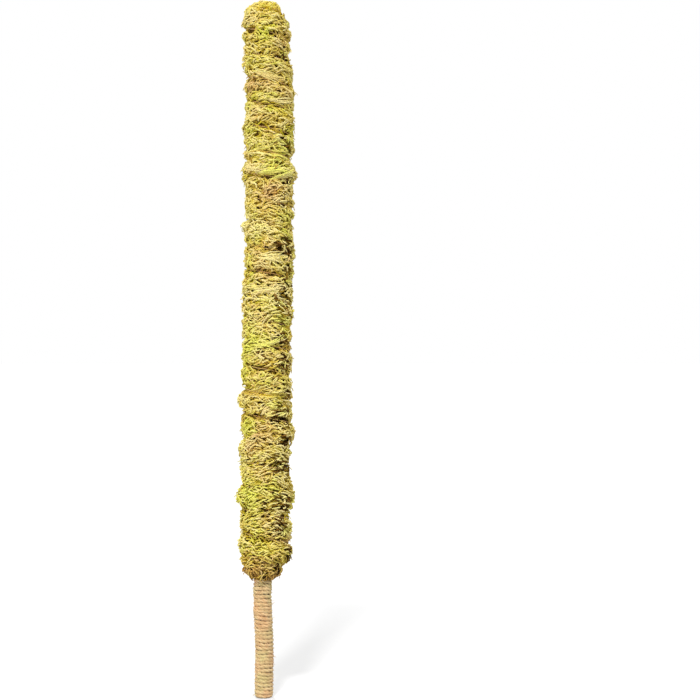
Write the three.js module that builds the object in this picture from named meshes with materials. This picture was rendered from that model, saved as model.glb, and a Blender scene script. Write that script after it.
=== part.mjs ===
// A hand-made moss pole for a climbing plant: a soft wire core, a bare stem wound with jute twine that is
// pushed into the soil, and handfuls of dried moss laid round the core in one climbing spiral, bound on by a
// thread that lies in the crease between the turns. A last handful caps the top.
// Millimetres, +Z up. The origin is the middle of the core's lower end, at the foot of the stem.

import * as THREE from "three";

// Driving dimensions
const STEM_LENGTH = 66; // from the foot to the lowest moss
const MOSS_LENGTH = 340; // from the lowest moss to the top of the pole
const CROWN_HEIGHT = 14; // the handful that caps the top
const CORE_DIAMETER = 6; // soft aluminium wire
const MOSS_RADIUS_LOW = 15; // over the moss just above the stem
const MOSS_RADIUS_TOP = 13.4; // over the moss just below the crown
const WAD_COUNT = 26; // handfuls in the spiral
const SEAT_GAP = 0.3; // between pieces that are pressed together

// Jute twine, laid flat by the pull of the winding
const TWINE_WIDTH = 2.45;
const TWINE_THICKNESS = 2;
const TWINE_TURN_GAP = 0.5;
const TWINE_TUCK = 5; // how far the winding runs up under the moss
const TWINE_FOOT_GAP = 0.3; // the core's end stands this far below the lowest turn

// Binding thread
const THREAD_DIAMETER = 0.6;

// Shape of the moss
const CREASE_DEPTH = 1.3; // how far the thread draws the moss in
const SKIRT_HEIGHT = 18; // where the moss thins out towards the stem
const SKIRT_WALL = 1; // thickness of the moss at the stem
const CROWN_BLUNTNESS = 0.6; // 1 is a round dome, less is flatter on top
const LUMP_HEIGHT = 0.3; // of each wave in the unevenness of hand-laid moss
const THICK_SPREAD = 5; // how far a thick place reaches up and down

// The waves of that unevenness: turns of the spiral from one to the next, and how many there are once round
const LUMP_WAVES = [
  { turns: 1.9, around: 3 },
  { turns: 4.5, around: -1 },
  { turns: 3.1, around: 2 },
];

// Places where a handful lies thick: turns up the spiral, angle in degrees, and how far the moss stands proud
const THICK_PLACES = [
  { turns: 1.35, angle: 0, proud: 1.8 },
  { turns: 2.4, angle: 90, proud: 0.9 },
  { turns: 2.5, angle: 270, proud: 0.9 },
  { turns: 3.6, angle: 180, proud: 1.9 },
  { turns: 3.6, angle: 0, proud: 1.9 },
  { turns: 5.6, angle: 180, proud: 1.3 },
  { turns: 6.4, angle: 0, proud: 1.6 },
  { turns: 7.6, angle: 180, proud: 1.3 },
  { turns: 11.4, angle: 0, proud: 0.9 },
  { turns: 11.5, angle: 180, proud: 0.9 },
  { turns: 17.1, angle: 0, proud: 1.6 },
  { turns: 17.2, angle: 180, proud: 2 },
  { turns: 19.2, angle: 180, proud: 2.2 },
  { turns: 20.7, angle: 0, proud: 1.1 },
];

// The slight bends left in the wire: share of its length from the foot, and how far it lies to the side
const BENDS = [
  [0, 0],
  [0.03, 0],
  [0.07, 0.3],
  [0.155, -0.9],
  [0.25, 1],
  [0.5, 1.5],
  [0.65, 2.7],
  [0.9, 3.2],
  [1, 0.6],
];

// Fineness of the meshes
const CORE_HALF_SIDES = 8; // faces in half of its round section
const CORE_STEPS = 32;
const TURN_STEPS = 16; // in one turn of moss or thread
const WAD_STEPS = 15; // not quite once round, so that no two handfuls end above each other
const WAD_BULGE_STEPS = 5; // from crease to crease
const TIP_STEPS = 2; // left off the thin ends of the spiral
const TWINE_STEPS = 20; // in one turn
const TWINE_SIDES = 6;
const THREAD_SIDES = 4;
const CROWN_STEPS = 6; // from the crown's rim to its top

// Sizes that follow
const CORE_RADIUS = CORE_DIAMETER / 2;
const SPIRAL_HEIGHT = MOSS_LENGTH - CROWN_HEIGHT;
const SPIRAL_TOP = STEM_LENGTH + SPIRAL_HEIGHT;
const POLE_LENGTH = STEM_LENGTH + MOSS_LENGTH;
const CORE_LENGTH = SPIRAL_TOP;
const SPIRAL_TURNS = (WAD_COUNT * WAD_STEPS) / TURN_STEPS;
const WAD_PITCH = SPIRAL_HEIGHT / (SPIRAL_TURNS - 1);
const TWINE_RUN = STEM_LENGTH + TWINE_TUCK - TWINE_FOOT_GAP - TWINE_WIDTH;
const TWINE_TURNS = Math.floor(TWINE_RUN / (TWINE_WIDTH + TWINE_TURN_GAP));
const TWINE_PITCH = TWINE_RUN / TWINE_TURNS;
const TWINE_OUTSIDE = CORE_RADIUS + SEAT_GAP + TWINE_THICKNESS;
const FULL_TURN = 2 * Math.PI;
const FRONT = -Math.PI / 2;

const aluminium = new THREE.MeshStandardMaterial({ color: 0xb9bcc0, roughness: 0.45, metalness: 1 });
const jute = new THREE.MeshStandardMaterial({ color: 0xd3b483, roughness: 0.95, metalness: 0 });
const thread = new THREE.MeshStandardMaterial({ color: 0xc9ae7a, roughness: 0.7, metalness: 0 });
const moss = new THREE.MeshStandardMaterial({ color: 0xb5a254, roughness: 1, metalness: 0 });

const coreLine = new THREE.CatmullRomCurve3(
  BENDS.map(([share, side]) => new THREE.Vector3(side, 0, share * CORE_LENGTH)),
);

// How far to the side the core lies at a height, found by halving the stretch of curve that holds it.
function sideAt(height) {
  let low = 0;
  let high = 1;
  while (high - low > 1e-6) {
    const middle = (low + high) / 2;
    if (coreLine.getPoint(middle).z < height) low = middle;
    else high = middle;
  }
  return coreLine.getPoint(low).x;
}

// A point by its distance and angle from the core, at a height.
function around(radius, angle, height) {
  return new THREE.Vector3(
    sideAt(height) + radius * Math.cos(angle),
    radius * Math.sin(angle),
    height,
  );
}

// Everything is wound the same way, clockwise from above as it climbs.
function windingAngle(turns) {
  return FRONT - FULL_TURN * turns;
}

// A closed solid through rings of points, which run counter-clockwise seen from the last ring. Each four-sided
// face is cut from its corner nearer the core, so that faces pressed together are cut alike.
function loft(rings) {
  const count = rings[0].length;
  const points = rings.flat();
  const index = [];
  const fromCore = (n) => Math.hypot(points[n].x, points[n].y);
  for (let ring = 0; ring + 1 < rings.length; ring += 1) {
    for (let i = 0; i < count; i += 1) {
      const here = ring * count + i;
      const beside = ring * count + ((i + 1) % count);
      const ahead = here + count;
      const aheadBeside = beside + count;
      if (fromCore(here) < fromCore(beside)) index.push(here, beside, aheadBeside, here, aheadBeside, ahead);
      else index.push(here, beside, ahead, beside, aheadBeside, ahead);
    }
  }
  const close = (ring, facesBack) => {
    const first = ring * count;
    const middle = points.length;
    const sum = rings[ring].reduce((total, p) => total.add(p), new THREE.Vector3());
    points.push(sum.divideScalar(count));
    for (let i = 0; i < count; i += 1) {
      const pair = [first + i, first + ((i + 1) % count)];
      index.push(middle, ...(facesBack ? pair.reverse() : pair));
    }
  };
  close(0, true);
  close(rings.length - 1, false);
  const geometry = new THREE.BufferGeometry().setFromPoints(points);
  geometry.setIndex(index);
  geometry.computeVertexNormals();
  return geometry;
}

// Rings of an oval section that follows a winding. place gives the radius and the height at a number of turns.
function windingRings({ from, to, stepsPerTurn, sides, width, thickness, place }) {
  const steps = Math.round((to - from) * stepsPerTurn);
  const centre = (turns) => {
    const { radius, height } = place(turns);
    return around(radius, windingAngle(turns), height);
  };
  return Array.from({ length: steps + 1 }, (_, step) => {
    const turns = THREE.MathUtils.lerp(from, to, step / steps);
    const nudge = 0.25 / stepsPerTurn;
    const along = centre(turns + nudge).sub(centre(turns - nudge)).normalize();
    const angle = windingAngle(turns);
    const outward = new THREE.Vector3(Math.cos(angle), Math.sin(angle), 0);
    const across = along.clone().cross(outward).normalize();
    return Array.from({ length: sides }, (_, side) => {
      const turn = FULL_TURN * (side / sides + 0.25);
      return centre(turns)
        .addScaledVector(outward, (thickness / 2) * Math.cos(turn))
        .addScaledVector(across, (width / 2) * Math.sin(turn));
    });
  });
}

// The least distance between points of a winding that are more than half a turn apart.
function leastGap(rings, stepsPerTurn) {
  let least = Infinity;
  for (let a = 0; a < rings.length; a += 1) {
    const last = Math.min(rings.length, a + 2 * stepsPerTurn);
    for (let b = a + Math.ceil(stepsPerTurn / 2); b < last; b += 1) {
      for (const p of rings[a]) {
        for (const q of rings[b]) least = Math.min(least, p.distanceTo(q));
      }
    }
  }
  return least;
}

// From 0 at the lowest moss to 1 above the skirt.
function skirtShare(height) {
  return THREE.MathUtils.clamp((height - STEM_LENGTH) / SKIRT_HEIGHT, 0, 1);
}

// How far the moss stands out from the core between the creases.
function mossRadius(height, angle) {
  const overStem = height - STEM_LENGTH;
  const body = THREE.MathUtils.lerp(MOSS_RADIUS_LOW, MOSS_RADIUS_TOP, overStem / MOSS_LENGTH);
  const lumps = LUMP_WAVES.reduce((total, wave) => {
    const phase = (FULL_TURN * overStem) / (wave.turns * WAD_PITCH) + wave.around * angle;
    return total + LUMP_HEIGHT * Math.sin(phase);
  }, 0);
  const thick = THICK_PLACES.reduce((total, place) => {
    const away = (overStem - place.turns * WAD_PITCH) / THICK_SPREAD;
    const facing = Math.max(0, Math.cos(angle - THREE.MathUtils.degToRad(place.angle)));
    return total + place.proud * facing * Math.exp(-away * away);
  }, 0);
  const stemSide = TWINE_OUTSIDE + SEAT_GAP + SKIRT_WALL;
  return THREE.MathUtils.lerp(stemSide, body + lumps + thick, skirtShare(height));
}

// The moss where the thread draws it in. Low on the skirt there is less moss to draw in.
function creaseRadius(height, angle) {
  return mossRadius(height, angle) - CREASE_DEPTH * skirtShare(height);
}

// Inside of the moss: over the tucked-in twine low down, and on the bare core above.
function boreRadius(height) {
  const overTwine = TWINE_OUTSIDE + SEAT_GAP;
  const twineEnd = STEM_LENGTH + TWINE_TUCK + WAD_PITCH;
  const climb = THREE.MathUtils.clamp((height - twineEnd) / WAD_PITCH, 0, 1);
  return THREE.MathUtils.lerp(overTwine, CORE_RADIUS + SEAT_GAP, climb);
}

// The handful's section at a number of turns: out along its lower face, up its bulge, and in again.
function wadSection(turns) {
  const angle = windingAngle(turns);
  const crease = STEM_LENGTH + WAD_PITCH * turns;
  const low = Math.max(STEM_LENGTH, crease - WAD_PITCH) + SEAT_GAP / 2;
  const high = Math.min(SPIRAL_TOP, crease) - SEAT_GAP / 2;
  const bulge = Array.from({ length: WAD_BULGE_STEPS + 1 }, (_, step) => {
    const height = THREE.MathUtils.lerp(low, high, step / WAD_BULGE_STEPS);
    const inward = creaseRadius(height, angle);
    const fullness = Math.sqrt(Math.sin((Math.PI * step) / WAD_BULGE_STEPS));
    return around(THREE.MathUtils.lerp(inward, mossRadius(height, angle), fullness), angle, height);
  });
  return [around(boreRadius(low), angle, low), ...bulge, around(boreRadius(high), angle, high)];
}

function makeCore() {
  const section = new THREE.Shape().absarc(0, 0, CORE_RADIUS, 0, FULL_TURN);
  return new THREE.ExtrudeGeometry(section, {
    extrudePath: coreLine,
    steps: CORE_STEPS,
    curveSegments: CORE_HALF_SIDES,
  });
}

function makeTwineRings() {
  const firstTurn = TWINE_FOOT_GAP + TWINE_WIDTH / 2;
  return windingRings({
    from: 0,
    to: TWINE_TURNS,
    stepsPerTurn: TWINE_STEPS,
    sides: TWINE_SIDES,
    width: TWINE_WIDTH,
    thickness: TWINE_THICKNESS,
    place: (turns) => ({
      radius: CORE_RADIUS + SEAT_GAP + TWINE_THICKNESS / 2,
      height: firstTurn + TWINE_PITCH * turns,
    }),
  });
}

function makeThreadRings() {
  return windingRings({
    from: TIP_STEPS / TURN_STEPS,
    to: SPIRAL_TURNS - 1 - TIP_STEPS / TURN_STEPS,
    stepsPerTurn: TURN_STEPS,
    sides: THREAD_SIDES,
    width: THREAD_DIAMETER,
    thickness: THREAD_DIAMETER,
    place: (turns) => {
      const height = STEM_LENGTH + WAD_PITCH * turns;
      const surface = creaseRadius(height, windingAngle(turns));
      return { radius: surface + SEAT_GAP + THREAD_DIAMETER / 2, height };
    },
  });
}

// A handful takes up the spiral where the one below it ends. The first and the last run out to thin ends.
function makeWad(number) {
  const first = number === 1 ? TIP_STEPS : 0;
  const last = number === WAD_COUNT ? WAD_STEPS - TIP_STEPS : WAD_STEPS;
  const endGap = SEAT_GAP / (FULL_TURN * MOSS_RADIUS_LOW);
  const sections = [];
  for (let step = first; step <= last; step += 1) {
    const turns = ((number - 1) * WAD_STEPS + step) / TURN_STEPS;
    sections.push(wadSection(step === last ? turns - endGap : turns));
  }
  return loft(sections);
}

// The crown is a low dome with a flat underside on the spiral's top and on the end of the core.
function makeCrown() {
  const rim = creaseRadius(SPIRAL_TOP, 0);
  const low = SPIRAL_TOP + SEAT_GAP;
  const dome = Array.from({ length: CROWN_STEPS + 1 }, (_, step) => {
    const turn = (Math.PI / 2) * (step / CROWN_STEPS);
    const out = step === CROWN_STEPS ? 0 : Math.cos(turn) ** CROWN_BLUNTNESS;
    return new THREE.Vector2(rim * out, low + (POLE_LENGTH - low) * Math.sin(turn));
  });
  const profile = [new THREE.Vector2(0, low), ...dome];
  const geometry = new THREE.LatheGeometry(profile, TURN_STEPS);
  geometry.rotateX(Math.PI / 2);
  geometry.translate(sideAt(SPIRAL_TOP), 0, 0);
  return geometry;
}

const pole = new THREE.Group();

function addPiece(name, geometry, material) {
  const piece = new THREE.Mesh(geometry, material);
  piece.name = name;
  pole.add(piece);
}

const twineRings = makeTwineRings();
const threadRings = makeThreadRings();
console.log(`stem_twine: ${TWINE_TURNS} turns, least gap ${leastGap(twineRings, TWINE_STEPS).toFixed(2)} mm`);
console.log(`binding_thread: least gap ${leastGap(threadRings, TURN_STEPS).toFixed(2)} mm`);

addPiece("core_wire", makeCore(), aluminium);
addPiece("stem_twine", loft(twineRings), jute);
addPiece("binding_thread", loft(threadRings), thread);
for (let number = 1; number <= WAD_COUNT; number += 1) {
  addPiece(`moss_wad_${String(number).padStart(2, "0")}`, makeWad(number), moss);
}
addPiece("moss_crown", makeCrown(), moss);

export default pole;
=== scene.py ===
"""Looks of the moss pole: moss laid strand by strand, a jute-wound stem, binding thread and a wire core."""

import math

import bmesh
import bpy
import numpy as np
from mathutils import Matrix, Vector, noise
from mathutils.bvhtree import BVHTree


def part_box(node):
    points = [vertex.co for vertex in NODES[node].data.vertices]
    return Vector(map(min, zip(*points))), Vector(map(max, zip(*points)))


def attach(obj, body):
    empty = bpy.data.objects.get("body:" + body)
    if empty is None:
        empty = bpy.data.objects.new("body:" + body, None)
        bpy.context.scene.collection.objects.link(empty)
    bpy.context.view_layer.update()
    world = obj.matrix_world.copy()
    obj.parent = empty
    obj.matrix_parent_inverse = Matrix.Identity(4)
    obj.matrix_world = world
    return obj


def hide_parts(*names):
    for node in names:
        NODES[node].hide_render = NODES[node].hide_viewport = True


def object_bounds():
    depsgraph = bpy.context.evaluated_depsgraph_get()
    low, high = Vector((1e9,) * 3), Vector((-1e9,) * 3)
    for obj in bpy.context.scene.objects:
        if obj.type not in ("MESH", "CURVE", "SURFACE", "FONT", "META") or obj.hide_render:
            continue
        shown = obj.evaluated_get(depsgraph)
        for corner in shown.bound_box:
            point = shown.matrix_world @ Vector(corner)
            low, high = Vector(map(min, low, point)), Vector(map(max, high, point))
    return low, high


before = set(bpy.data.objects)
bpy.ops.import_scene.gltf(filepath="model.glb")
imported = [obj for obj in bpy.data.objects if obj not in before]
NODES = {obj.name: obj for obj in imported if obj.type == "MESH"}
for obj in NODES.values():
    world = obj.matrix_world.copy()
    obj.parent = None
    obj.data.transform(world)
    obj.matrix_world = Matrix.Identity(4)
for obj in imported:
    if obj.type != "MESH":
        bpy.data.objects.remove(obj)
CAD_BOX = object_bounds()
MM = 0.001
UP = Vector((0, 0, 1))
FRONT = -math.pi / 2
FULL_TURN = 2 * math.pi

# The photograph's frame
PHOTO_SIDE_PX = 700
POLE_TOP_PX = 2
POLE_FOOT_PX = 697
FOOT_MIDDLE_PX = 264
CAMERA_DISTANCE = 0.9
SENSOR_WIDTH_MM = 36

# The winding, as the solids have it: each handful goes fifteen sixteenths of the way round
MOSS_NAMES = sorted(name for name in NODES if name.startswith("moss_"))
WAD_NAMES = [name for name in MOSS_NAMES if name != "moss_crown"]
WAD_TURNS = 15 / 16
STEM_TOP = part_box(WAD_NAMES[0])[0].z
SPIRAL_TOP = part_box(WAD_NAMES[-1])[1].z
POLE_TOP = CAD_BOX[1].z
SPIRAL_TURNS = len(WAD_NAMES) * WAD_TURNS
WAD_PITCH = (SPIRAL_TOP - STEM_TOP) / (SPIRAL_TURNS - 1)
MOSS_RADIUS = 14 * MM
CORE_RADIUS = 3.1 * MM
CORE_RING_HEIGHT = 4 * MM

# The hull that strands are laid on, and the bed under them, raised at the skirt so that strands hide its rim
HULL_VOXEL = 1.0 * MM
HULL_SMOOTHING = 3
BED_DEPTH = 2.2 * MM
BED_INNER = 6 * MM
BED_RAISE = 5 * MM
MERGE_CORNERS = 0.01 * MM
SAME_PLACE = 0.00001 * MM

# Maps for the bake
BED_MAP_SHARE = 0.1
BED_MAP_COLUMNS = 5
BED_CELL_CORNERS = ((0.1, 0.1), (0.9, 0.1), (0.9, 0.9))
TUBE_CELL_ALONG = (0, 1, 1, 0)
TUBE_CELL_OVER = (1, 1, 0, 0)
TUBE_CELL_MARGIN = 0.05

# Smooth random fields: the size of their patches in mm, and a seed of their own
HEADING_FIELD = (7, 1)
TONE_FIELD = (12, 2)
GREEN_FIELD = (12, 3)
BROWN_FIELD = (12, 4)
CREASE_DEPTH_FIELD = (25, 5)
CREASE_PLACE_FIELD = (7, 6)
LOCK_FIELD = (10, 7)
SWAY_FIELD = (6, 8)
FIELD_SHIFTS = (17.3, 5.1, 9.7)

# Where strands start: how far a face has to look out, and how they are spread
MOSS_SEED = 100
LOOKS_OUT = 0.3
LEAST_AREA = 1e-12
PICKED_FROM = 3
LEVEL_SQUEEZE = 3

# How strands head: radians off the level, which grow in the rough lower third, and any way on the crown
SIDE_DROP = 0.25
HEADING_WANDER = 0.25
HEADING_SPREAD = 0.1
ROUGH_WANDER = 0.3
ROUGH_SPREAD = 0.25
COMBED_FROM = 170 * MM
ROUGH_BELOW = 130 * MM
ROUGH_THINNER = 0.9
ROUGH_SHORTER = 0.8
ROUGH_STRAIGHTER = 0.35
CROWN_LEVEL = 0.8
CROWN_FROM = POLE_TOP - 7 * MM

# How strands run: bends are given for an eighth of a strand, and a wave's run is in radians
BEND_STEPS = 8
WAVE_RUN = 9.6
RISE_POWER = 1.5
SAG_SHARE = (0.3, 1.0)
OVERHANG = -0.6

# The skirt, where the moss thins to the stem and most strands hang down
SKIRT_RIM = 3 * MM
SKIRT_HEIGHT = 9 * MM
SKIRT_SINK = 1.0 * MM
SKIRT_BROWN = 22 * MM
HANGS_FROM = 1.5 * SKIRT_RIM
HANGS_CHANCE = 0.6
HANGS_SPREAD = 0.5

# Creases between turns of the spiral, locks that stand higher than others, and steps of the outline
CREASE_REACH = 1.5 * MM
CREASE_SINK = 1.5 * MM
CREASE_WANDER = 0.1
CREASE_MEAN = 0.45
CREASE_VARIES = 1.6
LOCK_HEIGHT = 0.9 * MM
LOCK_FLATTER = 2.2
STEP_HEIGHT = 2.6 * MM
STEP_LENGTH = 8 * MM

# Rings of corners along a strand: how far each lies from the root, and how thick the strand is there.
# Each whorl of leaflets widens slowly and ends at once.
STRAND_ROUNDING = 1
STRAND_SIDES = 4 + 2 * STRAND_ROUNDING
STRAND_SHARES = np.array((0, 0.1, 0.24, 0.3, 0.44, 0.5, 0.64, 0.7, 0.84, 0.92, 1))
STRAND_TAPER = np.array((0, 0.72, 1.16, 0.78, 1.18, 0.8, 1.16, 0.74, 0.98, 0.5, 0))
STRAND_POINTS = len(STRAND_SHARES)
STRAND_STEPS = np.append(np.diff(STRAND_SHARES), 0)
THICKNESS_VARIES = (0.92, 1.08)

# Layers of strands. Density is strands on a square millimetre, zone is from which height to which, brown is
# the share of dead brown colour, curl and wave are bends in radians, and the rest is in mm: lift over the
# hull at the root and at the tip, arch of the middle, half thickness and length.
WHOLE_MOSS = (STEM_TOP + SKIRT_RIM, 2 * POLE_TOP)
UNDER = dict(
    density=0.25, zone=WHOLE_MOSS, brown=0.15, curl=0.12, wave=0.4,
    root=(-2.2, -1.5), tip=(-1.9, -1.1), arch=(0.1, 0.5), radius=(0.42, 0.55), length=(5, 8),
)
MAIN = dict(
    density=0.19, zone=WHOLE_MOSS, brown=0.0, curl=0.12, wave=0.4,
    root=(-1.6, -0.8), tip=(-1.2, 0.6), arch=(0.5, 1.2), radius=(0.42, 0.55), length=(4.5, 8),
)
OUTER = dict(
    density=0.06, zone=WHOLE_MOSS, brown=-0.05, curl=0.12, wave=0.4,
    root=(-1.0, -0.3), tip=(-0.4, 1.2), arch=(0.3, 0.9), radius=(0.35, 0.46), length=(3.5, 7),
)
STRAY = dict(
    density=0.02, zone=WHOLE_MOSS, brown=0.1, curl=0.12, wave=0.4,
    root=(-0.6, 0.0), tip=(0.9, 2.2), arch=(0, 0.3), radius=(0.22, 0.32), length=(3, 5.5),
)
RIM = dict(
    density=0.3, zone=(STEM_TOP + SKIRT_RIM, STEM_TOP + SKIRT_HEIGHT), brown=0.45, curl=0.1, wave=0.3,
    root=(-1.4, -0.6), tip=(-1.0, 0.2), arch=(0.2, 0.6), radius=(0.36, 0.48), length=(4, 6.5),
)
CROWN = dict(
    density=0.35, zone=(CROWN_FROM, 2 * POLE_TOP), brown=0.1, curl=0.12, wave=0.4,
    root=(-2.0, -1.2), tip=(-1.6, -0.4), arch=(0.3, 0.9), radius=(0.42, 0.55), length=(5, 9),
)
LAYERS = (UNDER, MAIN, OUTER, STRAY, RIM, CROWN)

# A wisp is a flat lock of so many long strands. Back is how far in mm they start behind its middle, slant
# and spread are in radians, and bright is how much paler they are.
WISP = dict(
    count=11, width=2.8, back=(6, 11), slant=0.1, spread=0.03, bright=0.16, brown=-0.2, curl=0.03, wave=0.16,
    root=(-0.4, 0.3), tip=(-0.4, 0.3), arch=(0.5, 1.0), radius=(0.3, 0.44), length=(13, 20),
)

# What the photograph shows at certain places: height in mm, degrees to the right of the front, reach in mm
GREEN_PLACES = (
    (384, 0, 6), (382, 50, 4), (349, -50, 5), (341, 4, 5), (329, 50, 6), (316, 29, 7), (306, 0, 6),
    (270, 55, 5), (247, -50, 7), (218, 45, 5), (203, -55, 14), (195, -25, 7), (171, 20, 6), (160, -50, 7),
    (120, -75, 7), (116, -30, 7),
)
TAN_PLACES = (
    (378, 50, 6), (356, 5, 9), (356, -40, 7), (339, -35, 6), (294, 10, 9), (250, 0, 6), (164, 15, 8),
    (145, -50, 5),
)
PALE_PLACES = (
    (303, 15, 8), (306, -40, 6), (272, 0, 7), (238, -10, 7), (228, 20, 9), (223, -35, 7), (150, -25, 7),
)
# Dark places lie mostly on the right, away from the front and left lamps: their dark brown strands are
# partly dead moss and partly painted shade
DEAD_AND_SHADE_PLACES = (
    (372, 60, 4), (321, 47, 5), (310, 25, 4), (300, 55, 6), (290, 35, 4), (262, 50, 8), (248, 62, 5),
    (238, 52, 7), (230, 45, 9), (224, 58, 8), (209, 35, 6), (200, -10, 4), (196, 50, 7), (178, 65, 5),
    (164, 42, 9), (150, 60, 7), (138, 55, 10), (114, 45, 9), (113, 5, 5), (100, 50, 8), (84, 75, 7),
    (76, 50, 6), (73, 8, 4),
)
WISP_PLACES = (
    (361, 0), (346, 35), (318, -25), (316, 20), (307, -35), (305, 5), (303, 40), (256, 5), (237, -5),
    (206, 10), (178, -30), (177, 15),
)

# Where the outline steps out, or in where it is less than 0: height in mm, degrees to the right, and mm
STEP_PLACES = (
    (401, 90, -1.4), (393, 90, 0.6), (375, 90, -1.4), (368, 90, 1.8), (354, 90, 1.8), (345, 90, 0.8),
    (333, 90, -1.2), (320, 90, 0.6), (314, 90, -2.0), (304, 90, 0.8), (292, 90, -1.4), (278, 90, -1.4),
    (258, 90, 1.6), (207, 90, -2.2), (177, 90, 0.6), (151, 90, -0.6), (137, 90, -2.2), (130, 90, -1.4),
    (119, 90, 1.0), (108, 90, -1.0), (88, 90, -0.6),
    (382, -90, -2.4), (370, -90, 0.8), (347, -90, 1.6), (333, -90, 1.6), (325, -90, 1.8), (318, -90, 1.4),
    (306, -90, 1.8), (298, -90, -1.6), (275, -90, 2.0), (268, -90, 1.2), (246, -90, -1.2), (235, -90, 1.2),
    (182, -90, -1.4), (175, -90, 0.2), (168, -90, -1.0), (152, -90, -0.4), (147, -90, 1.6), (138, -90, 1.2),
    (119, -90, 0.6), (112, -90, -1.4), (91, -90, 1.6), (75, -90, 1.2),
)

# What makes a strand paler, greener or browner, and by how much. What it differs by chance comes on top.
# Painted shade in part: dark and crease make strands darker and browner in the dark places and in the
# creases between turns, partly dead moss and dirt and partly painted shade
TONE = dict(
    everywhere=0.88, layer_bright=1, tone_patch=0.1, pale=0.15, tan=0.05, dark=-0.7, skirt=-0.4, crease=-0.3,
)
GREEN = dict(everywhere=0.07, green=0.8, green_patch=0.8, tan=-0.3)
BROWN = dict(layer_brown=1, brown_patch=0.6, dark=1, tan=0.5, skirt=1.3, crease=0.4)
TONE_SPREAD = 0.1
GREEN_SPREAD = 0.22
BROWN_SPREAD = 0.2
GREEN_MOST = 0.85

# A strand is paler where it stands out of the moss and darker deeper in it, partly stain and partly painted
# shade of the strands over it, and paler at the wide end of each whorl of leaflets
LIFT_SHADE_AND_STAIN = 0.16
LIFT_RANGE_MM = (-2.0, 0.4)
LEAFLET_SHADE = 0.3 * (np.clip(STRAND_TAPER, 0.7, 1.2) - 1)
POINT_SPREAD = 0.05

# In a place of painted shade some strands are dark brown, partly dead moss and partly painted shade, and
# those between them are a little paler
SHADE_PLACE_EDGE = 2.6
DEAD_AND_SHADE_CHANCE = 0.48
DARK_BETWEEN = -0.25

# Jute twine
TWINE_SEED = 71
TWINE_TURNS = 33
TWINE_STEPS = 30
TWINE_DIAMETER = 2.05 * MM
TWINE_SWAY = 1.3 * MM
SWAY_TURNS = 6
FOOT_TUCK = 0.5 * MM
FOOT_TUCK_TURNS = 1.5
WINDING_RADIUS = 4.3 * MM
WINDING_WANDER = 0.12 * MM
WINDING_KNOTS = 5
PLY_COUNT = 3
PLY_LAY = 7.5 * MM
PLY_RADIUS = 0.86 * MM
PLY_OFFSET = 0.46 * MM
PLY_VARIES = 0.06
PLY_KNOTS = 6
PLY_ROUNDING = 2
FIBRE_COUNT = 300
FIBRE_RADIUS = 0.06 * MM
FIBRE_LENGTH_MM = (1.5, 4)
FIBRE_POINTS = 6
FIBRE_LIFT = (0, 0.4)
FIBRE_SPREAD = 0.4
FIBRE_BEND = 0.3

# Binding thread, from which turn of the spiral to which
THREAD_RADIUS = 0.22 * MM
THREAD_DEPTH = 0.6 * MM
THREAD_ROUNDING = 1
THREAD_STEPS = 36
THREAD_FROM = 0.15
THREAD_TO = SPIRAL_TURNS - 1.15

# Lamps: degrees to the right of the camera, degrees above the floor, and strength
LAMPS = {
    "key": (-8, 48, 2.2),
    "front_fill": (-45, 10, 1.35),
    "side_fill": (80, 35, 1.05),
    "back_fill": (-165, 40, 1.9),
}
LAMP_SOFTNESS = 8
AMBIENT = 0.37
FLOOR_GLOW = 0.4
FLOOR_HALF_SIDE = 20


def linear(hex_colour):
    """An sRGB hex colour as linear red, green, blue and alpha."""
    parts = [int(hex_colour[i:i + 2], 16) / 255 for i in (1, 3, 5)]
    return [c / 12.92 if c <= 0.04045 else ((c + 0.055) / 1.055) ** 2.4 for c in parts] + [1]


def add(tree, kind, inputs=None, stops=None, **settings):
    """Adds a node, sets its properties and its colour stops, and fills or links its inputs."""
    made = tree.nodes.new(kind)
    for key, value in settings.items():
        setattr(made, key, value)
    for key, value in (inputs or {}).items():
        if isinstance(value, bpy.types.NodeSocket):
            tree.links.new(value, made.inputs[key])
        else:
            made.inputs[key].default_value = value
    for i, (place, colour) in enumerate(stops or []):
        ramp = made.color_ramp.elements
        stop = ramp[i] if i < 2 else ramp.new(place)
        stop.position = place
        stop.color = linear(colour)
    return made


def new_material(name):
    """An empty node material, its tree and its output."""
    material = bpy.data.materials.new(name)
    material.use_nodes = True
    material.node_tree.nodes.clear()
    return material, material.node_tree, add(material.node_tree, "ShaderNodeOutputMaterial")


def per_mm(size_mm):
    """The scale of a pattern on coordinates in metres, from its real size."""
    return 1 / (size_mm * MM)


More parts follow.
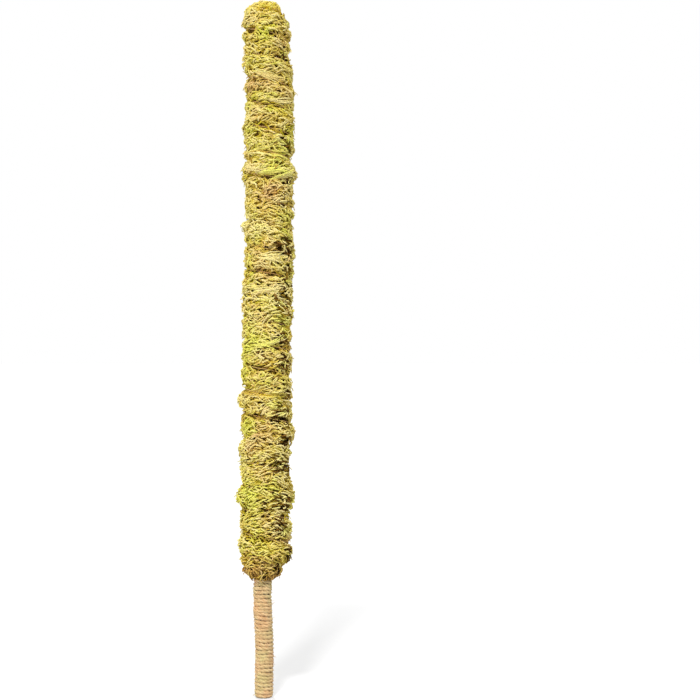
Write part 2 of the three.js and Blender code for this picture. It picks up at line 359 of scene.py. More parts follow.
def dried_moss():
    """Sheet moss, dried and pressed on by hand: matt straw yellow to olive strands, lime where it dried
    green. Its leaflets are under half a millimetre wide, and drawn a little coarser to show."""
    material, tree, out = new_material("dried_sheet_moss")
    tone = add(tree, "ShaderNodeAttribute", attribute_name="tone").outputs["Fac"]
    green = add(tree, "ShaderNodeAttribute", attribute_name="green").outputs["Fac"]
    brown = add(tree, "ShaderNodeAttribute", attribute_name="brown").outputs["Fac"]
    straw = add(tree, "ShaderNodeValToRGB", {"Fac": tone}, stops=[
        (0.0, "#8a6d04"), (1.0, "#eedf98"), (0.25, "#bb9d18"), (0.5, "#d3b938"), (0.75, "#e2ce66"),
    ])
    lime = add(tree, "ShaderNodeValToRGB", {"Fac": tone}, stops=[
        (0.0, "#4c4c04"), (1.0, "#e6e668"), (0.5, "#c6c42c"),
    ])
    bark = add(tree, "ShaderNodeValToRGB", {"Fac": tone}, stops=[
        (0.0, "#241502"), (1.0, "#e8c684"), (0.25, "#6a4818"), (0.6, "#c0974c"),
    ])
    greener = add(tree, "ShaderNodeMix", {0: green, 6: straw.outputs[0], 7: lime.outputs[0]},
                  data_type="RGBA")
    browner = add(tree, "ShaderNodeMix", {0: brown, 6: greener.outputs[2], 7: bark.outputs[0]},
                  data_type="RGBA")
    lay = add(tree, "ShaderNodeAttribute", attribute_name="lay").outputs["Vector"]
    scaled = add(tree, "ShaderNodeMapping", {
        "Vector": lay, "Scale": (per_mm(0.9), per_mm(0.45), per_mm(0.45)),
    })
    leaflets = add(tree, "ShaderNodeTexVoronoi", {"Vector": scaled.outputs[0], "Scale": 1.0})
    edges = add(tree, "ShaderNodeValToRGB", {"Fac": leaflets.outputs["Distance"]}, stops=[
        (0.55, "#ffffff"), (1.0, "#bcae7c"),
    ])
    leafy = add(tree, "ShaderNodeMix", {0: 1.0, 6: browner.outputs[2], 7: edges.outputs[0]},
                data_type="RGBA", blend_type="MULTIPLY")
    bump = add(tree, "ShaderNodeBump", {
        "Height": leaflets.outputs["Distance"], "Strength": 0.8, "Distance": 0.2 * MM,
    }, invert=True)
    shader = add(tree, "ShaderNodeBsdfPrincipled", {
        "Base Color": leafy.outputs[2], "Normal": bump.outputs[0], "Roughness": 0.85,
        "Specular IOR Level": 0.05,
    })
    tree.links.new(shader.outputs[0], out.inputs[0])
    return material


def moss_bed():
    """The inside of the moss: dark brown, partly dead strands and dirt and partly painted shade from the
    strands over it.
    """
    material, tree, out = new_material("moss_bed_brown_and_shade")
    place = add(tree, "ShaderNodeTexCoord").outputs["Object"]
    dirt_and_shade = add(tree, "ShaderNodeTexNoise", {"Vector": place, "Scale": per_mm(2.5), "Detail": 4.0})
    colour = add(tree, "ShaderNodeValToRGB", {"Fac": dirt_and_shade.outputs["Fac"]}, stops=[
        (0.3, "#463310"), (0.7, "#6c5220"),
    ])
    shader = add(tree, "ShaderNodeBsdfPrincipled", {
        "Base Color": colour.outputs[0], "Roughness": 0.95, "Specular IOR Level": 0.05,
    })
    tree.links.new(shader.outputs[0], out.inputs[0])
    return material


def spun_fibre(name, dark, middle, pale, rough):
    """Spun plant fibre: streaks and fine ridges run along the yarn, it is darker towards the inside of the
    winding, partly dirt and partly painted shade in the grooves, and the retting has left it greener in some
    places and pinker in others. A fibre is under a tenth of a millimetre wide, so the streaks are drawn
    coarser to show."""
    material, tree, out = new_material(name)
    place = add(tree, "ShaderNodeTexCoord").outputs["Object"]
    retting = add(tree, "ShaderNodeTexNoise", {"Vector": place, "Scale": per_mm(9), "Detail": 2.0})
    tint = add(tree, "ShaderNodeValToRGB", {"Fac": retting.outputs["Fac"]}, stops=[
        (0.35, "#f2f8e0"), (0.65, "#fbe8da"), (0.5, "#f8f2e4"),
    ])
    outside = add(tree, "ShaderNodeAttribute", attribute_name="outside").outputs["Fac"]
    # Painted shade, partly dirt: darker towards the inside of the winding and in the grooves between turns
    dirt_and_shade = add(tree, "ShaderNodeValToRGB", {"Fac": outside}, stops=[(0.45, "#5a3c1a"), (0.88, "#ffffff")])
    lay = add(tree, "ShaderNodeAttribute", attribute_name="lay").outputs["Vector"]
    stretched = add(tree, "ShaderNodeMapping", {
        "Vector": lay, "Scale": (per_mm(6), per_mm(0.25), per_mm(0.25)),
    })
    streaks = add(tree, "ShaderNodeTexNoise", {"Vector": stretched.outputs[0], "Scale": 1.0, "Detail": 3.0})
    colour = add(tree, "ShaderNodeValToRGB", {"Fac": streaks.outputs["Fac"]}, stops=[
        (0.25, dark), (0.75, pale), (0.5, middle),
    ])
    tinted = add(tree, "ShaderNodeMix", {0: 1.0, 6: colour.outputs[0], 7: tint.outputs[0]},
                 data_type="RGBA", blend_type="MULTIPLY")
    dirty_and_shaded = add(tree, "ShaderNodeMix", {0: 1.0, 6: tinted.outputs[2], 7: dirt_and_shade.outputs[0]},
                data_type="RGBA", blend_type="MULTIPLY")
    bump = add(tree, "ShaderNodeBump", {
        "Height": streaks.outputs["Fac"], "Strength": 0.8, "Distance": 0.15 * MM,
    })
    shader = add(tree, "ShaderNodeBsdfPrincipled", {
        "Base Color": dirty_and_shaded.outputs[2], "Normal": bump.outputs[0], "Roughness": rough,
        "Specular IOR Level": 0.3, "Sheen Weight": 0.15,
    })
    tree.links.new(shader.outputs[0], out.inputs[0])
    return material


def drawn_aluminium():
    """Soft aluminium wire, drawn and then cut: satin, with fine marks along it, which are coarser here to
    show."""
    material, tree, out = new_material("drawn_aluminium")
    place = add(tree, "ShaderNodeTexCoord").outputs["Object"]
    along = add(tree, "ShaderNodeMapping", {"Vector": place, "Scale": (per_mm(0.3), per_mm(0.3), per_mm(8))})
    marks = add(tree, "ShaderNodeTexNoise", {"Vector": along.outputs[0], "Scale": 1.0, "Detail": 3.0})
    colour = add(tree, "ShaderNodeValToRGB", {"Fac": marks.outputs["Fac"]}, stops=[
        (0.3, "#a9abad"), (0.7, "#c9cacc"),
    ])
    rough = add(tree, "ShaderNodeMapRange", {"Value": marks.outputs["Fac"], "To Min": 0.32, "To Max": 0.5})
    shader = add(tree, "ShaderNodeBsdfPrincipled", {
        "Base Color": colour.outputs[0], "Metallic": 1.0, "Roughness": rough.outputs[0],
    })
    tree.links.new(shader.outputs[0], out.inputs[0])
    return material


def evaluated_mesh(obj):
    """The object's mesh with its modifiers or its curve's section applied."""
    bpy.context.view_layer.update()
    graph = bpy.context.evaluated_depsgraph_get()
    return bpy.data.meshes.new_from_object(obj.evaluated_get(graph), depsgraph=graph)


def link(name, data):
    """A new object in the scene."""
    obj = bpy.data.objects.new(name, data)
    bpy.context.scene.collection.objects.link(obj)
    return obj


def place_piece(piece, slot, *replaced):
    """Every piece of the pole rides on its one body."""
    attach(piece, "root")
    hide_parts(*replaced)


def smooth_hull():
    """One closed skin over all the handfuls, without the slits between them, to lay strands on."""
    joined = bmesh.new()
    for name in MOSS_NAMES:
        joined.from_mesh(NODES[name].data)
    mesh = bpy.data.meshes.new("moss_hull")
    joined.to_mesh(mesh)
    joined.free()
    hull = link("moss_hull", mesh)
    remesh = hull.modifiers.new("close", "REMESH")
    remesh.mode = "VOXEL"
    remesh.voxel_size = HULL_VOXEL
    relax = hull.modifiers.new("relax", "SMOOTH")
    relax.iterations = HULL_SMOOTHING
    skin = evaluated_mesh(hull)
    tree = BVHTree.FromPolygons([v.co for v in skin.vertices], [p.vertices for p in skin.polygons])
    bpy.data.objects.remove(hull)
    bpy.data.meshes.remove(mesh)
    bpy.data.meshes.remove(skin)
    return tree


def core_middle():
    """Heights and sideways places along the middle of the core wire, from its rings of corners."""
    corners = np.array([v.co for v in NODES["core_wire"].data.vertices])
    ring = np.round(corners[:, 2] / CORE_RING_HEIGHT).astype(int)
    heights = [corners[ring == k, 2].mean() for k in np.unique(ring)]
    sides = [corners[ring == k, 0].mean() for k in np.unique(ring)]
    return np.array(heights), np.array(sides)


def on_pole(height_mm, angle):
    """The hull's point and normal at a height, so many degrees to the right of the front."""
    turn = FRONT + math.radians(angle)
    outward = Vector((math.cos(turn), math.sin(turn), 0))
    axis = Vector((np.interp(height_mm * MM, *CORE_MIDDLE), 0, height_mm * MM))
    spot, normal, _, _ = HULL.ray_cast(axis + outward * 2 * MOSS_RADIUS, -outward)
    return spot, normal


def owner(spot):
    """The handful that a place on the moss belongs to."""
    gaps = {name: (NODES[name].closest_point_on_mesh(spot)[1] - spot).length for name in MOSS_NAMES}
    return min(gaps, key=gaps.get)


def outer_starts(mesh, density, chance):
    """Points spread evenly over the faces of a handful that look away from the core, one for each strand."""
    mesh.calc_loop_triangles()
    corners = np.array([[mesh.vertices[i].co for i in t.vertices] for t in mesh.loop_triangles])
    middle = corners.mean(1)
    across = np.cross(corners[:, 1] - corners[:, 0], corners[:, 2] - corners[:, 0])
    area = np.linalg.norm(across, axis=1) / 2
    normal = across / np.maximum(2 * area, LEAST_AREA)[:, None]
    away = middle - np.c_[np.interp(middle[:, 2], *CORE_MIDDLE), np.zeros((len(middle), 2))]
    away[:, 2] = 0
    distance = np.linalg.norm(away, axis=1)
    looks_out = (normal * away).sum(1) > LOOKS_OUT * distance
    on_top = (normal[:, 2] > LOOKS_OUT) & (middle[:, 2] > SPIRAL_TOP + MM)
    weight = np.where(looks_out | on_top, area, 0)
    count = int(round(weight.sum() / MM ** 2 * density))
    tries = count * PICKED_FROM
    chosen = chance.choice(len(weight), tries, p=weight / weight.sum())
    share = np.sqrt(chance.random((tries, 1)))
    along = chance.random((tries, 1))
    a, b, c = (corners[chosen, i] for i in range(3))
    return spread(a * (1 - share) + b * share * (1 - along) + c * share * along, count)


def spread(tries, count):
    """Picks points one by one, each the farthest of a few tries from all the picked ones. Level gaps count
    less, because the strands lie level."""
    squeezed = tries / (LEVEL_SQUEEZE, LEVEL_SQUEEZE, 1)
    gap = np.full(len(tries), np.inf)
    picked = []
    for first in range(0, count * PICKED_FROM, PICKED_FROM):
        best = first + np.argmax(gap[first:first + PICKED_FROM])
        picked.append(best)
        gap = np.minimum(gap, np.linalg.norm(squeezed - squeezed[best], axis=1))
    return tries[picked]


def field(point, size_mm, seed):
    """A smooth random value from -1 to 1 that changes over the given size."""
    return noise.noise(point * per_mm(size_mm) + Vector([seed * shift for shift in FIELD_SHIFTS]))


def field_values(points, size_mm, seed):
    """The value of a field at each point."""
    return np.array([field(Vector(point), size_mm, seed) for point in points])


def turned(direction, axis, angle):
    """A direction turned about an axis that is square to it."""
    return direction * math.cos(angle) + axis.cross(direction) * math.sin(angle)


def laid_flat(direction, normal):
    """A direction laid flat on the hull."""
    return (direction - normal * direction.dot(normal)).normalized()


def roughness(height):
    """0 where the moss is combed, 1 in the rough lower third."""
    return np.clip((COMBED_FROM - height) / (COMBED_FROM - ROUGH_BELOW), 0, 1)


def where_rough(factor, height):
    """A factor that holds in the rough lower third, and is 1 where the moss is combed."""
    return 1 + (factor - 1) * roughness(height)


def skirt_share(height, reach):
    """1 at the lower rim of the moss, falling to 0 over the reach."""
    return np.clip(1 - (height - STEM_TOP) / reach, 0, 1)


def crease_share(spot):
    """1 in the crease between two turns of the spiral, falling to 0 beside it, stronger in some places."""
    angle = math.atan2(spot.y, spot.x - np.interp(spot.z, *CORE_MIDDLE))
    turns = (spot.z - STEM_TOP) / WAD_PITCH - (FRONT - angle) / FULL_TURN
    turns += CREASE_WANDER * field(spot, *CREASE_PLACE_FIELD)
    away = (turns - round(turns)) * WAD_PITCH / CREASE_REACH
    strength = min(max(CREASE_MEAN + CREASE_VARIES * field(spot, *CREASE_DEPTH_FIELD), 0), 1)
    return strength * math.exp(-away * away)


def step_out(spot):
    """How far the outline steps out at a place, or in."""
    gap = np.array(spot) - STEP_SPOTS
    away = (gap[:, 0] ** 2 + gap[:, 1] ** 2) / STEP_LENGTH ** 2 + gap[:, 2] ** 2 / STEP_HEIGHT ** 2
    return float(STEP_SIZES @ np.exp(-away)) * MM


def walk(spot, normal, heading, length, layer, chance):
    """A strand's points over the hull, and how high each stands over it."""
    root = chance.uniform(*layer["root"]) * MM
    tip = chance.uniform(*layer["tip"]) * MM
    arch = chance.uniform(*layer["arch"]) * MM
    sag = max(tip - root, 0) * chance.uniform(*SAG_SHARE)
    straightness = where_rough(ROUGH_STRAIGHTER, spot.z)
    curl = chance.normal(0, layer["curl"]) * straightness
    wave = chance.uniform(0, layer["wave"]) * straightness
    phase = chance.random() * FULL_TURN
    points, lifts = [], []
    for share, step in zip(STRAND_SHARES, STRAND_STEPS):
        lift = root + (tip - root) * share ** RISE_POWER + arch * math.sin(math.pi * share)
        lift -= CREASE_SINK * crease_share(spot) + SKIRT_SINK * skirt_share(spot.z, SKIRT_HEIGHT)
        lift += LOCK_HEIGHT * field(Vector((spot.x, spot.y, spot.z * LOCK_FLATTER)), *LOCK_FIELD)
        lift += step_out(spot)
        points.append(spot + normal * lift - UP * sag * share ** 2)
        lifts.append(lift)
        ahead = spot + heading * length * step
        found, facing, _, _ = HULL.find_nearest(ahead)
        hangs_free = facing.z < OVERHANG
        spot, normal = (ahead, normal) if hangs_free else (found, facing)
        bend = curl + wave * math.sin(phase + WAVE_RUN * share)
        heading = turned(laid_flat(heading, normal), normal, BEND_STEPS * step * bend)
    return points, lifts


def strand(start, layer, chance):
    """A strand with its middle at a start: along the winding on the whole, but hanging down where the moss
    thins to the stem."""
    spot, normal, _, _ = HULL.find_nearest(Vector(start))
    level = UP.cross(normal)
    if level.length < CROWN_LEVEL:
        any_way = chance.random() * FULL_TURN
        level = Vector((math.cos(any_way), math.sin(any_way), 0))
    level = laid_flat(level, normal)
    length = chance.uniform(*layer["length"]) * MM * where_rough(ROUGH_SHORTER, spot.z)
    rough = roughness(spot.z)
    turn = (HEADING_WANDER + ROUGH_WANDER * rough) * field(spot, *HEADING_FIELD) - SIDE_DROP * normal.x
    turn += chance.normal(0, HEADING_SPREAD + ROUGH_SPREAD * rough)
    over_rim = spot.z - STEM_TOP
    if HANGS_FROM < over_rim < SKIRT_HEIGHT and (layer is RIM or chance.random() < HANGS_CHANCE):
        turn = -math.pi / 2 + chance.normal(0, HANGS_SPREAD)
        length = min(length, 2 * (over_rim - SKIRT_RIM))
    elif chance.random() < 0.5:
        turn += math.pi
    heading = turned(level, normal, turn)
    spot, normal, _, _ = HULL.find_nearest(spot - heading * length / 2)
    return walk(spot, normal, laid_flat(heading, normal), length, layer, chance)


def wisp(spot, normal, chance):
    """A flat lock of long strands that lie side by side along the winding."""
    level = UP.cross(normal).normalized()
    heading = turned(level, normal, chance.normal(0, WISP["slant"]))
    strands = []
    for _ in range(WISP["count"]):
        across = UP * chance.uniform(-0.5, 0.5) * WISP["width"] * MM
        back = heading * chance.uniform(*WISP["back"]) * MM
        start, facing, _, _ = HULL.find_nearest(spot + across - back)
        ahead = turned(laid_flat(heading, facing), facing, chance.normal(0, WISP["spread"]))
        strands.append(walk(start, facing, ahead, chance.uniform(*WISP["length"]) * MM, WISP, chance))
    return strands


def lay_strands(name, wisps, chance):
    """All strands of a handful, layer on layer and then its wisps, each with its points, their lifts, its
    layer and its half thickness in mm."""
    laid = []
    for layer in LAYERS:
        low, high = layer["zone"]
        for start in outer_starts(NODES[name].data, layer["density"], chance):
            if low < start[2] < high:
                points, lifts = strand(start, layer, chance)
                laid.append((points, lifts, layer, chance.uniform(*layer["radius"])))
    for spot, normal in wisps:
        for points, lifts in wisp(spot, normal, chance):
            laid.append((points, lifts, WISP, chance.uniform(*WISP["radius"])))
    return laid


def near(points, places):
    """How near each point lies to one of the places: 1 at its middle, falling off over its reach."""
    share = np.zeros(len(points))
    for height, angle, reach in places:
        spot = np.array(on_pole(height, angle)[0])
        away = np.linalg.norm(points - spot, axis=1) / (reach * MM)
        share = np.maximum(share, np.exp(-away ** 2))
    return share


def weighed(weights, shares):
    """The sum of all that makes a strand paler, greener or browner."""
    return sum(weight * shares[name] for name, weight in weights.items())


def strand_colours(middle, lifts, layers, chance):
    """How pale each strand is from point to point, and how green and how brown it is."""
    count = len(middle)
    # Painted shade, partly dead moss: in the dark places some strands are made dark and brown
    shade = np.clip(SHADE_PLACE_EDGE * near(middle, DEAD_AND_SHADE_PLACES) - 1, 0, 1)
    shares = dict(
        everywhere=np.ones(count),
        layer_bright=np.array([layer.get("bright", 0) for layer in layers]),
        layer_brown=np.array([layer["brown"] for layer in layers]),
        dark=np.where(chance.random(count) < DEAD_AND_SHADE_CHANCE * shade, 1.0, DARK_BETWEEN * shade),
        green=near(middle, GREEN_PLACES),
        tan=near(middle, TAN_PLACES),
        pale=near(middle, PALE_PLACES),
        tone_patch=field_values(middle, *TONE_FIELD),
        green_patch=field_values(middle, *GREEN_FIELD),
        brown_patch=field_values(middle, *BROWN_FIELD),
        skirt=skirt_share(middle[:, 2], SKIRT_BROWN),
        # Painted shade, partly dirt and dead strands: how deep in a crease the strand lies
        crease=np.array([crease_share(Vector(point)) for point in middle]),
    )
    tone = weighed(TONE, shares) + chance.normal(0, TONE_SPREAD, count)
    # Painted shade, partly stain: the lower a point lies in the moss, the darker it is
    tone = tone[:, None] + LIFT_SHADE_AND_STAIN * np.clip(lifts / MM, *LIFT_RANGE_MM) + LEAFLET_SHADE
    tone += chance.normal(0, POINT_SPREAD, lifts.shape)
    green = weighed(GREEN, shares) + chance.normal(0, GREEN_SPREAD, count)
    brown = weighed(BROWN, shares) + chance.normal(0, BROWN_SPREAD, count)
    return tone, np.minimum(green, GREEN_MOST), brown


def tubes(name, paths, radii, rounding):
    """Tubes along paths, as curves with a bevel made one mesh. A radius of 0 pinches an end to a point."""
    curve = bpy.data.curves.new(name, "CURVE")
    curve.dimensions = "3D"
    curve.bevel_depth = 1
    curve.bevel_resolution = rounding
    for path, radius in zip(paths, radii):
        spline = curve.splines.new("POLY")
        spline.points.add(len(path) - 1)
        spline.points.foreach_set("co", np.c_[path, np.ones(len(path))].ravel())
        spline.points.foreach_set("radius", radius)
    holder = link(name, curve)
    mesh = evaluated_mesh(holder)
    mesh.uv_layers.remove(mesh.uv_layers[0])
    mesh.shade_smooth()
    bpy.data.objects.remove(holder)
    bpy.data.curves.remove(curve)
    return mesh


def tube_map(mesh, strip_steps, sides, left=0.0):
    """A map for the bake: each strip of so many steps along a tube, opened flat, has a cell of its own."""
    stretch, side = np.divmod(np.arange(len(mesh.polygons)), sides)
    strip, step = np.divmod(stretch, strip_steps)
    columns = math.ceil(math.sqrt(strip.max() + 1))
    row, column = np.divmod(strip, columns)
    along = (step[:, None] + TUBE_CELL_ALONG) / strip_steps
    over = (side[:, None] + TUBE_CELL_OVER) / sides
    filled = 1 - 2 * TUBE_CELL_MARGIN
    u = (column[:, None] + TUBE_CELL_MARGIN + filled * along) / columns
    v = (row[:, None] + TUBE_CELL_MARGIN + filled * over) / columns
    layer = mesh.uv_layers.new(name="OFBake")
    layer.data.foreach_set("uv", np.dstack([left + (1 - left) * u, v]).ravel())


def lay_straight(mesh, paths, radii, sides):
    """Keeps as an attribute where each corner would lie if the tubes were laid straight, end to end."""
    turn = np.arange(sides) * FULL_TURN / sides
    start = 0.0
    lays = []
    for path, radius in zip(paths, radii):
        run = start + np.r_[0, np.cumsum(np.linalg.norm(np.diff(path, axis=0), axis=1))]
        start = run[-1]
        lays.append(np.dstack([
            np.repeat(run[:, None], sides, 1),
            np.outer(radius, np.cos(turn)),
            np.outer(radius, np.sin(turn)),
        ]).reshape(-1, 3))
    lay = mesh.attributes.new("lay", "FLOAT_VECTOR", "POINT")
    lay.data.foreach_set("vector", np.vstack(lays).ravel())


def close_ends(mesh):
    """Merges the corners that a pinched end has in one place."""
    form = bmesh.new()
    form.from_mesh(mesh)
    bmesh.ops.remove_doubles(form, verts=form.verts, dist=SAME_PLACE)
    form.to_mesh(mesh)
    form.free()


def point_values(mesh, name, values):
    """A number for each corner point of the mesh."""
    mesh.attributes.new(name, "FLOAT", "POINT").data.foreach_set("value", np.clip(values, 0, 1).ravel())


def strands_mesh(name, paths, thickness, tone, green, brown):
    """A handful's strands as tubes, with their colours and what their pattern and their bake need."""
    mesh = tubes(name, paths, thickness, STRAND_ROUNDING)
    corners = STRAND_POINTS * STRAND_SIDES
    point_values(mesh, "tone", np.repeat(tone, STRAND_SIDES, 1))
    point_values(mesh, "green", np.repeat(green, corners))
    point_values(mesh, "brown", np.repeat(brown, corners))
    lay_straight(mesh, paths, thickness, STRAND_SIDES)
    tube_map(mesh, STRAND_POINTS - 1, STRAND_SIDES, BED_MAP_SHARE)
    close_ends(mesh)
    return mesh


def bed_mesh(name):
    """The handful's own solid, drawn in to the core, with a cell for each face in its part of the map."""
    form = bmesh.new()
    form.from_mesh(NODES[name].data)
    bmesh.ops.remove_doubles(form, verts=form.verts, dist=MERGE_CORNERS)
    for vert in form.verts:
        away = Vector((vert.co.x - np.interp(vert.co.z, *CORE_MIDDLE), vert.co.y, 0))
        share = (away.length - BED_INNER) / (MOSS_RADIUS - BED_INNER)
        vert.co -= away.normalized() * BED_DEPTH * min(max(share, 0), 1)
        vert.co.z -= BED_DEPTH * max(vert.co.z - SPIRAL_TOP, 0) / (POLE_TOP - SPIRAL_TOP)
        vert.co.z += BED_RAISE * skirt_share(vert.co.z, SKIRT_HEIGHT)
    uv = form.loops.layers.uv.new("OFBake")
    rows = math.ceil(len(form.faces) / BED_MAP_COLUMNS)
    for number, face in enumerate(form.faces):
        row, column = divmod(number, BED_MAP_COLUMNS)
        for loop, (over, up) in zip(face.loops, BED_CELL_CORNERS):
            loop[uv].uv = (BED_MAP_SHARE * (column + over) / BED_MAP_COLUMNS, (row + up) / rows)
    mesh = bpy.data.meshes.new(name + "_bed")
    form.to_mesh(mesh)
    form.free()
    return mesh


def make_moss(name, seed, wisps, strands_finish, bed_finish):
    """A handful of moss: some six hundred strands in layers over a dark bed."""
    chance = np.random.default_rng(seed)
    points, lifts, layers, radii = zip(*lay_strands(name, wisps, chance))
    paths = np.array(points)
    middle = paths[:, STRAND_POINTS // 2]
    tone, green, brown = strand_colours(middle, np.array(lifts), layers, chance)
    thickness = np.outer(np.array(radii) * where_rough(ROUGH_THINNER, middle[:, 2]), STRAND_TAPER)
    thickness *= chance.uniform(*THICKNESS_VARIES, thickness.shape) * MM
    mesh = strands_mesh(name, paths, thickness, tone, green, brown)
    mesh.materials.append(strands_finish)
    over_bed = link("strands_of_" + name, mesh)
    bed = bed_mesh(name)
    bed.materials.append(bed_finish)
    piece = link("piece_" + name, bed)
    with bpy.context.temp_override(active_object=piece, selected_editable_objects=[piece, over_bed]):
        bpy.ops.object.join()
    place_piece(piece, "moss", name)


def make_all_moss():
    """Every handful, with the long wisps that the photograph shows at certain places."""
    strands_finish = dried_moss()
    bed_finish = moss_bed()
    wisps = {name: [] for name in MOSS_NAMES}
    for height, angle in WISP_PLACES:
        spot, normal = on_pole(height, angle)
        wisps[owner(spot)].append((spot, normal))
    for number, name in enumerate(MOSS_NAMES):
        make_moss(name, MOSS_SEED + number, wisps[name], strands_finish, bed_finish)


def yarn_mesh(name, paths, radii, rounding, strip_steps, inside, outside):
    """Yarns as tubes, each with its run straightened out as an attribute that its streaks follow, and with
    how far each point lies from the inside of the winding to the outside."""
    mesh = tubes(name, paths, radii, rounding)
    corners = np.array([v.co for v in mesh.vertices])
    corners[:, 0] -= np.interp(corners[:, 2], *CORE_MIDDLE)
    point_values(mesh, "outside", (np.hypot(corners[:, 0], corners[:, 1]) - inside) / (outside - inside))
    sides = 4 + 2 * rounding
    lay_straight(mesh, paths, radii, sides)
    tube_map(mesh, strip_steps, sides)
    close_ends(mesh)
    return mesh


def even_radius(count, radius):
    """The same radius all along, pinched to a point at both ends."""
    return np.r_[0, np.full(count - 2, radius), 0]


def wander(knots, steps, size, chance):
    """A random walk about zero with so many knots, as long as the yarn has points."""
    return np.interp(np.linspace(0, knots - 1, steps), np.arange(knots), chance.normal(0, size, knots))


def loose_fibres(middle, outward, chance):
    """Short fibres that have come loose, and stand off the twine where it turns away from them."""
    shares = np.linspace(0, 1, FIBRE_POINTS)
    fibres = []
    for start in chance.integers(TWINE_STEPS, len(middle) - TWINE_STEPS, FIBRE_COUNT):
        out = Vector(outward[start])
        root = Vector(middle[start]) + out * (TWINE_DIAMETER / 2 - 2 * FIBRE_RADIUS)
        along = Vector(middle[start + 1] - middle[start]).normalized() * chance.choice((-1, 1))
        aim = (along + out * chance.uniform(*FIBRE_LIFT) + UP * chance.normal(0, FIBRE_SPREAD)).normalized()
        bend = Vector(chance.normal(0, FIBRE_BEND, 3))
        length = chance.uniform(*FIBRE_LENGTH_MM) * MM
        fibres.append(np.array([root + (aim + bend * share) * length * share for share in shares]))
    return fibres


def twine_winding(steps, chance):
    """The twine's middle, point by point from the foot to just under the moss, and which way is outward."""
    low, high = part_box("stem_twine")
    half = TWINE_DIAMETER / 2
    turns = np.linspace(0, TWINE_TURNS, steps)
    height = np.interp(turns, (0, 1, TWINE_TURNS), (low.z + half, low.z + half, high.z - half))
    radius = WINDING_RADIUS + wander(TWINE_TURNS * WINDING_KNOTS, steps, WINDING_WANDER, chance)
    radius -= FOOT_TUCK * np.clip(FOOT_TUCK_TURNS - turns, 0, 1)
    angle = FRONT - turns * FULL_TURN
    outward = np.c_[np.cos(angle), np.sin(angle), np.zeros(steps)]
    sway = field_values([Vector(out) * CORE_RADIUS + UP * z for out, z in zip(outward, height)], *SWAY_FIELD)
    height += TWINE_SWAY * sway * np.clip((turns - 1) / SWAY_TURNS, 0, 1)
    middle = outward * radius[:, None]
    middle[:, 0] += np.interp(height, *CORE_MIDDLE)
    middle[:, 2] = height
    return middle, outward


def make_twine(finish):
    """One jute twine of three plies, wound turn on turn over the stem, with loose fibres."""
    chance = np.random.default_rng(TWINE_SEED)
    steps = TWINE_TURNS * TWINE_STEPS
    middle, outward = twine_winding(steps, chance)
    run = np.r_[0, np.cumsum(np.linalg.norm(np.diff(middle, axis=0), axis=1))]
    plies = []
    for ply in range(PLY_COUNT):
        twist = FULL_TURN * (run / PLY_LAY + ply / PLY_COUNT)
        sideways = np.cos(twist)[:, None] * outward + np.sin(twist)[:, None] * np.array(UP)
        plies.append(middle + PLY_OFFSET * sideways)
    uneven = wander(TWINE_TURNS * PLY_KNOTS, steps, PLY_VARIES, chance)
    thickness = even_radius(steps, PLY_RADIUS) * (1 + uneven)
    fibres = loose_fibres(middle, outward, chance)
    radii = [thickness] * PLY_COUNT + [even_radius(FIBRE_POINTS, FIBRE_RADIUS)] * FIBRE_COUNT
    outside = CORE_RADIUS + TWINE_DIAMETER
    mesh = yarn_mesh("twine", plies + fibres, radii, PLY_ROUNDING, TWINE_STEPS, CORE_RADIUS, outside)
    mesh.materials.append(finish)
    place_piece(link("piece_stem_twine", mesh), "jute_twine", "stem_twine")


def make_thread(finish):
    """One thread along the creases of the spiral, pressed into the moss."""
    steps = int((THREAD_TO - THREAD_FROM) * THREAD_STEPS)
    path = []
    for turns in np.linspace(THREAD_FROM, THREAD_TO, steps):
        spot, normal = on_pole((STEM_TOP + WAD_PITCH * turns) / MM, -math.degrees(FULL_TURN) * turns)
        path.append(spot - normal * THREAD_DEPTH)
    radius = even_radius(steps, THREAD_RADIUS)
    mesh = yarn_mesh("thread", [np.array(path)], [radius], THREAD_ROUNDING, THREAD_STEPS, 0, MOSS_RADIUS / 2)
    mesh.materials.append(finish)
    place_piece(link("piece_binding_thread", mesh), "binding_thread", "binding_thread")


def make_camera():
    """Level, in front of the pole, with the photograph's frame round it."""
    scale = POLE_TOP / (POLE_FOOT_PX - POLE_TOP_PX)
    half = PHOTO_SIDE_PX / 2
    data = bpy.data.cameras.new("camera")
    data.sensor_width = SENSOR_WIDTH_MM
    data.lens = SENSOR_WIDTH_MM * CAMERA_DISTANCE / (PHOTO_SIDE_PX * scale)
    camera = link("camera", data)
    right = (half - FOOT_MIDDLE_PX) * scale
    height = POLE_TOP - (half - POLE_TOP_PX) * scale
    camera.location = (right, -CAMERA_DISTANCE, height)
    camera.rotation_euler = (math.pi / 2, 0, 0)
    bpy.context.scene.camera = camera


def seen_or_mirrored(tree):
    """1 for the camera and for what is seen in metal or through glass, 0 for light that falls on things."""
    path = add(tree, "ShaderNodeLightPath")
    either = path.outputs["Is Camera Ray"]
    for ray in ("Is Glossy Ray", "Is Transmission Ray"):
        larger = add(tree, "ShaderNodeMath", {0: either, 1: path.outputs[ray]}, operation="MAXIMUM")
        either = larger.outputs[0]
    return either


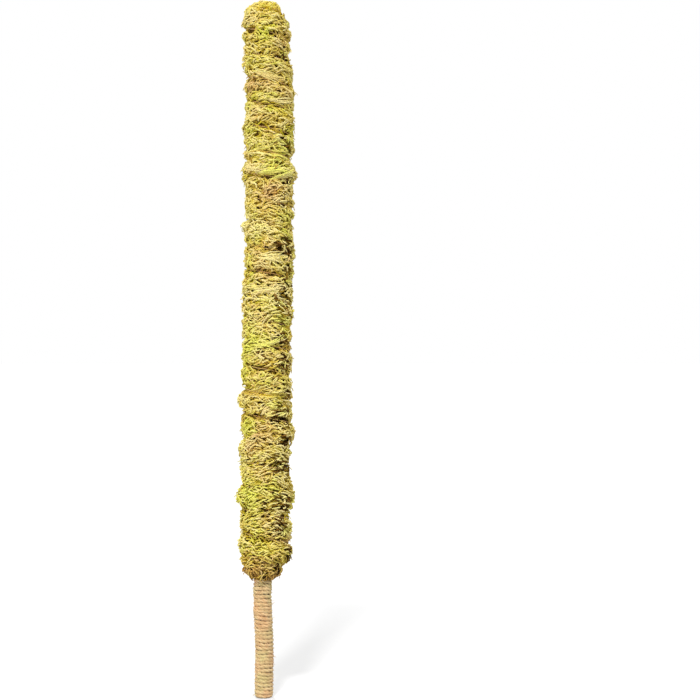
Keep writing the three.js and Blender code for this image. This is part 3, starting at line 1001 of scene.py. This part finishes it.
def make_stage():
    """A pale floor that shows white where it is lit and keeps the pole's shadow."""
    material, tree, out = new_material("pale_floor")
    strength = add(tree, "ShaderNodeMapRange", {
        "Value": seen_or_mirrored(tree), "To Min": 0.0, "To Max": FLOOR_GLOW,
    })
    glow = add(tree, "ShaderNodeEmission", {"Color": linear("#ffffff"), "Strength": strength.outputs[0]})
    paint = add(tree, "ShaderNodeBsdfDiffuse", {"Color": linear("#b4b4b4")})
    both = add(tree, "ShaderNodeAddShader", {0: paint.outputs[0], 1: glow.outputs[0]})
    tree.links.new(both.outputs[0], out.inputs[0])
    form = bmesh.new()
    bmesh.ops.create_grid(form, x_segments=1, y_segments=1, size=FLOOR_HALF_SIDE)
    mesh = bpy.data.meshes.new("floor")
    form.to_mesh(mesh)
    form.free()
    mesh.materials.append(material)
    link("floor", mesh)


def add_sun(name, right, above, strength):
    """A far soft lamp, by its degrees to the right of the camera and above the floor."""
    data = bpy.data.lights.new(name, "SUN")
    data.energy = strength
    data.angle = math.radians(LAMP_SOFTNESS)
    lamp = link(name, data)
    lamp.rotation_euler = (math.radians(90 - above), 0, math.radians(right))


def make_light():
    """A high key in front, fills from the left, the right and behind, and an even surround that the camera
    sees as white."""
    for name, lamp in LAMPS.items():
        add_sun(name, *lamp)
    world = bpy.data.worlds.new("surround")
    bpy.context.scene.world = world
    world.use_nodes = True
    tree = world.node_tree
    tree.nodes.clear()
    strength = add(tree, "ShaderNodeMapRange", {
        "Value": seen_or_mirrored(tree), "To Min": AMBIENT, "To Max": 1.0,
    })
    surround = add(tree, "ShaderNodeBackground", {
        "Color": linear("#ffffff"), "Strength": strength.outputs[0],
    })
    out = add(tree, "ShaderNodeOutputWorld")
    tree.links.new(surround.outputs[0], out.inputs[0])


make_camera()
CORE_MIDDLE = core_middle()
HULL = smooth_hull()
STEP_SPOTS = np.array([on_pole(height, angle)[0] for height, angle, _ in STEP_PLACES])
STEP_SIZES = np.array([size for _, _, size in STEP_PLACES])
make_all_moss()
make_twine(spun_fibre("spun_jute", "#a27f52", "#d0b68a", "#f0ddb8", 0.85))
make_thread(spun_fibre("spun_cotton_thread", "#a98450", "#c9a566", "#dcc08a", 0.7))
NODES["core_wire"].data.materials.clear()
NODES["core_wire"].data.materials.append(drawn_aluminium())
make_stage()
make_light()
bpy.context.scene.view_settings.view_transform = "Standard"
